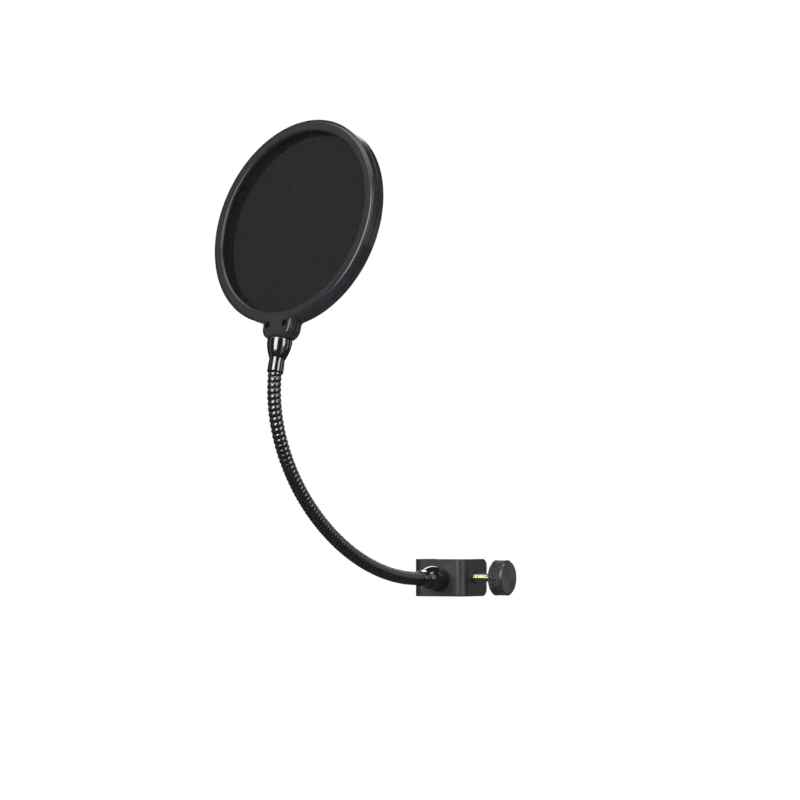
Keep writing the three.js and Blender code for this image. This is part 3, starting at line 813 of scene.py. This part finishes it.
def hose():
    points, length = neck_curve()
    total = length[-1] - HOSE_RUN_ON
    tangents = np.gradient(points, length, axis=0)
    profile = ridge_profile()
    per_pitch = len(profile)
    turns_before = math.ceil((HOSE_INSERT + RIDGE_PITCH) / RIDGE_PITCH)
    count = int((total + 2 * (HOSE_INSERT + RIDGE_PITCH)) / RIDGE_PITCH) * per_pitch
    rows = np.arange(count)
    row_along = profile[rows % per_pitch, 0] + RIDGE_PITCH * (rows // per_pitch - turns_before)

    def row(i, slope_column, j):
        """Positions and outward normals at rows i and column j"""
        theta = 2 * np.pi * j / HOSE_SIDES
        along = np.clip(row_along[i] + RIDGE_PITCH * j / HOSE_SIDES, -HOSE_INSERT, total + HOSE_INSERT)
        centre = at_length(along, length, points)
        t = at_length(along, length, tangents)
        t /= np.linalg.norm(t, axis=1)[:, None]
        n = np.cross(t, X)
        out = np.cos(theta) * X + np.sin(theta) * n
        round_it = -np.sin(theta) * X + np.cos(theta) * n
        radius, slope = profile[i % per_pitch, 1], profile[i % per_pitch, slope_column]
        normal = radius[:, None] * (out - slope[:, None] * t)
        normal += (RIDGE_PITCH / (2 * np.pi) * slope)[:, None] * round_it
        return centre + radius[:, None] * out, normal / np.linalg.norm(normal, axis=1)[:, None]

    link = total / HOSE_LINKS
    seams = [(k - 0.5) * link - RIDGE_PITCH / 2 for k in range(1, HOSE_LINKS + 1)]
    bounds = [-HOSE_INSERT - RIDGE_PITCH, *seams, total + HOSE_INSERT]
    rows_at = [int(np.argmin(np.abs(row_along - b))) for b in bounds]
    for section, (first, last) in enumerate(zip(rows_at, rows_at[1:])):
        verts, faces, normals, index = [], [], [], {}

        def vertex(i, j, position):
            key = (i + per_pitch * (j // HOSE_SIDES), j % HOSE_SIDES)
            if key not in index:
                index[key] = len(verts)
                verts.append(position)
            return index[key]

        i = np.arange(first, last)
        columns = [(row(i, 3, j), row(i + 1, 2, j)) for j in range(HOSE_SIDES + 1)]
        limit_low, limit_high = -HOSE_INSERT, total + HOSE_INSERT
        for j in range(HOSE_SIDES):
            (here, here_n), (above, above_n) = columns[j]
            (next_here, next_here_n), (next_above, next_above_n) = columns[j + 1]
            shift = RIDGE_PITCH * j / HOSE_SIDES
            for k in range(len(i)):
                low, high = row_along[i[k]] + shift, row_along[i[k] + 1] + shift
                if high <= limit_low or low >= limit_high:
                    continue
                faces.append(
                    (
                        vertex(i[k], j, here[k]),
                        vertex(i[k], j + 1, next_here[k]),
                        vertex(i[k] + 1, j + 1, next_above[k]),
                        vertex(i[k] + 1, j, above[k]),
                    )
                )
                normals += [here_n[k], next_here_n[k], next_above_n[k], above_n[k]]
        made = piece(f"hose_{section:02d}", verts, faces, hose_black, sharp=None)
        made.data.normals_split_custom_set([tuple(n) for n in normals])
        if section:
            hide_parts(f"gooseneck_{section:02d}")
        near = link / 2 - RIDGE_PITCH / 2 - 0.1  # half a link, less half a pitch and 0.1 mm
        middle = section * link
        low = middle if section == 0 else middle - near
        high = middle if section == HOSE_LINKS else middle + near
        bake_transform(made)


hose()

# ---------- head ----------

front_flat = np.cross(X, stem)
twist = math.radians(HEAD_TWIST)
head_x = math.cos(twist) * X + math.sin(twist) * front_flat
head_z = math.cos(twist) * front_flat - math.sin(twist) * X
head_centre = stem_top + (TAB_TO_FERRULE + TAB_EDGE) * stem


def to_head(x, y, z):
    """A point in the head's frame, y up the stem and z to the front, as one in the row frame."""
    return head_centre + x * head_x + y * stem + z * head_z


def hoop_outline():
    """The hoop's outer line with its tab, anticlockwise, and the normals that point inwards."""
    blend_radius, half = 2.5, TAB_WIDTH / 2
    # the fillet between the circle and the tab's straight side
    centre_x = half + blend_radius
    centre_y = -math.sqrt((HOOP_RADIUS + blend_radius) ** 2 - centre_x**2)
    touch = np.array([centre_x, centre_y]) * HOOP_RADIUS / (HOOP_RADIUS + blend_radius)
    start_angle = math.degrees(math.atan2(touch[1], touch[0]))
    circle = arc((0, 0), HOOP_RADIUS, start_angle, 180 - start_angle, 220)
    to_touch = math.degrees(math.atan2(touch[1] - centre_y, touch[0] - centre_x))
    right_fillet = arc((centre_x, centre_y), blend_radius, 180, to_touch, 8)
    left_fillet = [(-x, y) for x, y in reversed(right_fillet)]
    bottom = -TAB_EDGE + TAB_CORNER_RADIUS
    inner = half - TAB_CORNER_RADIUS
    corner_left = arc((-inner, bottom), TAB_CORNER_RADIUS, 180, 270, 14)
    corner_right = arc((inner, bottom), TAB_CORNER_RADIUS, 270, 360, 14)
    edge = [(x, -TAB_EDGE) for x in np.linspace(-inner, inner, 7)[1:-1]]
    points = circle[:-1] + left_fillet + corner_left + edge + corner_right + right_fillet[:-1]
    line = np.array(points)
    keep = np.linalg.norm(line - np.roll(line, 1, axis=0), axis=1) > 0.02
    line = line[keep]
    tangent = np.roll(line, -1, axis=0) - np.roll(line, 1, axis=0)
    tangent /= np.linalg.norm(tangent, axis=1)[:, None]
    return line, np.stack([-tangent[:, 1], tangent[:, 0]], axis=1)


def hoop_half(name, side):
    """One moulded half, from the parting plane outwards; side is 1 for the front and -1 for the rear."""
    line, inward = hoop_outline()
    polar = np.arctan2(line[:, 1], line[:, 0])
    rays = np.stack([np.cos(polar), np.sin(polar)], axis=1)
    wide, high, lip = HOOP_SHOULDER_WIDTH, HOOP_SHOULDER_HEIGHT, 1.6
    parting, half = HOOP_PARTING, HOOP_HALF_THICK
    bead = 0.25
    outer = [(bead, parting), (0.0, parting + bead), (0.0, parting + bead + SUPPORT)]
    outer += [(0.0, half - high - SUPPORT)]
    outer += [
        (wide * (1 - math.cos(a)), half - high + high * math.sin(a))
        for a in np.linspace(0, math.pi / 2, 13)
    ]
    outer += [(wide + SUPPORT, half)]
    inner = [(HOOP_INNER_RADIUS + lip + SUPPORT, half)]
    inner += [
        (HOOP_INNER_RADIUS + lip - lip * math.sin(a), half - lip + lip * math.cos(a))
        for a in np.linspace(0, math.pi / 2, 7)
    ]
    inner += [
        (HOOP_INNER_RADIUS, half - lip - SUPPORT),
        (HOOP_INNER_RADIUS, HOOP_SEAT_DEPTH),
        (HOOP_SEAT_RADIUS, HOOP_SEAT_DEPTH),
        (HOOP_SEAT_RADIUS, parting),
    ]
    rings = [np.array([to_head(p[0], p[1], side * z) for p in line + inward * d]) for d, z in outer]
    rings += [np.array([to_head(p[0], p[1], side * z) for p in rays * r]) for r, z in inner]
    if side < 0:
        rings = [ring[::-1] for ring in rings]
    verts, faces = loft(rings, close_rings=True)
    made = piece(name, verts, faces, hoop_plastic)
    floor = half - TAB_RECESS_DEPTH
    clear_hole, screw_hole, back_wall, stud_hole_depth = 1.5, 1.4, 0.8, 11.5
    drills = [drill(to_head(0, -TAB_EDGE - 1, 0), stem, STUD_RADIUS + 0.2, stud_hole_depth)]
    for x in (-TAB_SCREW_SPACING / 2, TAB_SCREW_SPACING / 2):
        y = TAB_SCREW_FROM_EDGE - TAB_EDGE
        if side > 0:
            drills.append(drill(to_head(x, y, floor), head_z, TAB_RECESS_RADIUS, TAB_RECESS_DEPTH + 1))
            drills.append(drill(to_head(x, y, -1), head_z, clear_hole, floor + 1.5))
        else:
            drills.append(drill(to_head(x, y, back_wall - half), head_z, screw_hole, half))
    cut(made, *drills)
    return made


def screen(name, side):
    """The nylon, stretched flat, with its UV map in metres; its rim dips where the flange presses it."""
    sides, thick = 180, 0.3
    front = HOOP_SEAT_DEPTH - 0.1
    radii = [6, 14, 24, 34, 44, 54, 62, 66, 68.6, 69.8, 70.8, 71.5]
    angles = 2 * np.pi * np.arange(sides) / sides

    def level(r, top):
        press = 0.12 * (1 - math.exp(-((SCREEN_RADIUS - r) ** 2) / 8))
        pucker = 0.05 * math.exp(-((r - 66) ** 2) / 12) * np.sin(48 * angles)
        return front - (0 if top else thick) - press * 0.5 + pucker

    def ring(r, top):
        z = level(r, top)
        return np.array([to_head(r * math.cos(a), r * math.sin(a), side * h) for a, h in zip(angles, z)])

    def centre(z):
        return np.array([to_head(0, 0, side * (z - 0.06))])

    rings = [centre(front)] + [ring(r, True) for r in radii]
    rings += [ring(SCREEN_RADIUS, True), ring(SCREEN_RADIUS, False)]
    rings += [ring(r, False) for r in reversed(radii)] + [centre(front - thick)]
    if side < 0:
        rings = [r[::-1] if len(r) > 1 else r for r in rings]
    verts, faces = loft(rings)
    made = piece(name, verts, [f[::-1] for f in faces], nylon)
    uv = made.data.uv_layers.new(name="weave")
    place_at = np.array([v.co for v in made.data.vertices]) / MM - head_centre
    flat = np.stack([place_at @ head_x, place_at @ stem], axis=1) * MM
    loops = np.zeros(len(made.data.loops), int)
    made.data.loops.foreach_get("vertex_index", loops)
    uv.data.foreach_set("uv", flat[loops].ravel())
    return made


def spacer():
    reach, inner, outer = HOOP_SEAT_DEPTH - 0.5 - 0.2, 69.8, 71.8
    corners = [(inner, -reach), (outer, -reach), (outer, reach), (inner, reach)]
    profile = filleted([(*corner, 0.15) for corner in corners], steps=2)
    return turned(
        "spacer_band", head_centre, head_z, profile, hoop_plastic,
        sides=180, closed=True, reference=head_x,
    )


def tab_screw(name, x):
    """A small pan-head screw with a cross recess."""
    y = TAB_SCREW_FROM_EDGE - TAB_EDGE
    seat = HOOP_HALF_THICK - TAB_RECESS_DEPTH + 0.1
    shank, length, head_radius, head = 1.3, 9.6, 2.2, 1.6
    body = filleted(
        [
            (0, -length, 0),
            (0.8, -length, 0),
            (shank, 1.0 - length, 0),
            (shank, 0, 0),
            (head_radius, 0, 0.15),
            (head_radius, head, 0.6),
            (0, head, 0),
        ],
        closed=False,
        steps=5,
    )
    made = turned(
        name, to_head(x, y, seat), head_z, body, black_oxide, sides=32, reference=head_x
    )
    long_way, wide, deep = 1.25, 0.28, 1.0
    outline = [(-long_way, -wide), (long_way, -wide), (long_way, wide), (-long_way, wide)]
    slots = []
    for spin in (45, 135):
        c, s = math.cos(math.radians(spin)), math.sin(math.radians(spin))
        levels = []
        for scale, z in ((0.45, seat + head - deep), (1.0, seat + 1.65), (1.0, seat + 2.2)):
            turned_outline = [(c * u - s * v, s * u + c * v) for u, v in outline]
            levels.append(np.array([to_head(x + u * scale, y + v * scale, z) for u, v in turned_outline]))
        verts, faces = loft(levels)
        faces += [(3, 2, 1, 0), (8, 9, 10, 11)]
        slots.append(piece("slot", verts, faces, zinc))
    cut(made, *slots)
    return made


def head_stud():
    length, below_top = 17.5, 8
    corners = [(0, 0, 0), (STUD_RADIUS, 0, 0.3), (STUD_RADIUS, length, 0.3), (0, length, 0)]
    profile = filleted(corners, closed=False, steps=3)
    return turned(
        "head_stud_body", stem_top - below_top * stem, stem, profile, zinc, sides=40
    )


front_hoop = place(hoop_half("hoop_front", 1), "head", "front_hoop")
rear_hoop = place(hoop_half("hoop_rear", -1), "head", "rear_hoop")
place(spacer(), "head", "spacer_ring")
place(head_stud(), "neck_tip", "head_stud")
place(tab_screw("tab_screw_a", -TAB_SCREW_SPACING / 2), "head", "tab_screw_left")
place(tab_screw("tab_screw_b", TAB_SCREW_SPACING / 2), "head", "tab_screw_right")
for screen_name, node, side, hoop in (
    ("nylon_front", "front_screen", 1, front_hoop),
    ("nylon_rear", "rear_screen", -1, rear_hoop),
):
    place(screen(screen_name, side), "head", node)

clip = frame["nodes"]["foot_clip"]
clip.data.materials.clear()
clip.data.materials.append(zinc.material)

# ---------- stage and light ----------

FLOOR_DROP = 0.30  # below the clamp, so that the bent-down head clears it
DOME_RADIUS = 11.0


def glow(name, color, strength):
    material = bpy.data.materials.new(name)
    material.use_nodes = True
    material.node_tree.nodes.clear()
    out = material.node_tree.nodes.new("ShaderNodeOutputMaterial")
    emission = material.node_tree.nodes.new("ShaderNodeEmission")
    emission.inputs["Color"].default_value = rgba(color)
    emission.inputs["Strength"].default_value = strength
    material.node_tree.links.new(emission.outputs[0], out.inputs["Surface"])
    return material


def staged(name, rings, material):
    verts, faces = loft(rings)
    mesh = bpy.data.meshes.new(name)
    mesh.from_pydata([tuple(v) for v in verts], [], [tuple(map(int, f)) for f in faces])
    mesh.polygons.foreach_set("use_smooth", [True] * len(mesh.polygons))
    mesh.materials.append(material)
    made = bpy.data.objects.new(name, mesh)
    bpy.context.scene.collection.objects.link(made)
    return made


def circle(radius, z, sides=96):
    a = 2 * np.pi * np.arange(sides) / sides
    return np.stack([radius * np.cos(a), radius * np.sin(a), np.full(sides, z)], axis=1)


floor_z = -FLOOR_DROP
floor_look = surface("floor_look", (0.86, 0.86, 0.86), (0.75, 0.85), vary=0.01, cloud=2.0)
floor_look.shader.inputs["Emission Color"].default_value = (1, 1, 1, 1)
floor_look.shader.inputs["Emission Strength"].default_value = 1.0
floor_rings = [circle(radius, floor_z) for radius in (0.001, 2, DOME_RADIUS)]
floor = staged("floor", floor_rings, floor_look.material)
floor.visible_glossy = False
dome_rings = [
    circle(DOME_RADIUS * math.cos(e), floor_z + DOME_RADIUS * math.sin(e))
    for e in np.radians(np.linspace(0, 89, 24))
]
dome = staged("backdrop", dome_rings, glow("backdrop_look", (1, 1, 1), 1.0))
for ray in ("visible_diffuse", "visible_glossy", "visible_transmission", "visible_shadow"):
    setattr(dome, ray, False)

world = bpy.data.worlds.new("studio")
bpy.context.scene.world = world
world.use_nodes = True
world.node_tree.nodes["Background"].inputs["Color"].default_value = (0.93, 0.96, 1.0, 1)
world.node_tree.nodes["Background"].inputs["Strength"].default_value = 0.05


def softbox(name, azimuth, elevation, distance, width, height, radiance, color=(1, 1, 1)):
    """An area light in a direction from the object's middle, azimuth and elevation in degrees."""
    light = bpy.data.lights.new(name, "AREA")
    light.shape, light.size, light.size_y = "RECTANGLE", width, height
    light.energy = radiance * 4 * width * height
    light.color = color
    made = bpy.data.objects.new(name, light)
    bpy.context.scene.collection.objects.link(made)
    away = direction(azimuth, elevation)
    made.location = Vector(CAMERA_AIM + distance * away)
    made.rotation_mode = "QUATERNION"
    made.rotation_quaternion = Vector(away).to_track_quat("Z", "Y")
    made.visible_camera = False


softbox("left_box", CAMERA_AZIMUTH - 33, 22, 1.7, 0.86, 1.4, 5.4)
softbox("right_box", CAMERA_AZIMUTH + 38, 22, 1.7, 0.60, 1.4, 4.2, (0.90, 0.95, 1.0))
softbox("right_fill", CAMERA_AZIMUTH + 78, 12, 1.7, 0.40, 1.6, 0.7)
softbox("side_box", CAMERA_AZIMUTH + 118, 10, 1.7, 0.70, 1.2, 0.42, (0.95, 1.0, 1.0))
softbox("high_box", CAMERA_AZIMUTH + 88, 50, 1.7, 0.45, 0.45, 3.5)
softbox("high_left_box", CAMERA_AZIMUTH - 76, 50, 1.7, 0.70, 0.6, 3.0)
softbox("left_fill", CAMERA_AZIMUTH - 90, 14, 1.7, 0.40, 1.6, 0.34, (0.92, 1.0, 1.0))
softbox("low_box", CAMERA_AZIMUTH + 32, -7, 1.3, 0.7, 0.40, 0.5, (0.72, 0.86, 1.0))
softbox("top_box", CAMERA_AZIMUTH, 78, 1.5, 1.1, 1.1, 2.2)
softbox("back_box", CAMERA_AZIMUTH + 180, 11, 1.9, 1.2, 1.2, 3.0)

bpy.context.scene.view_settings.view_transform = "Standard"
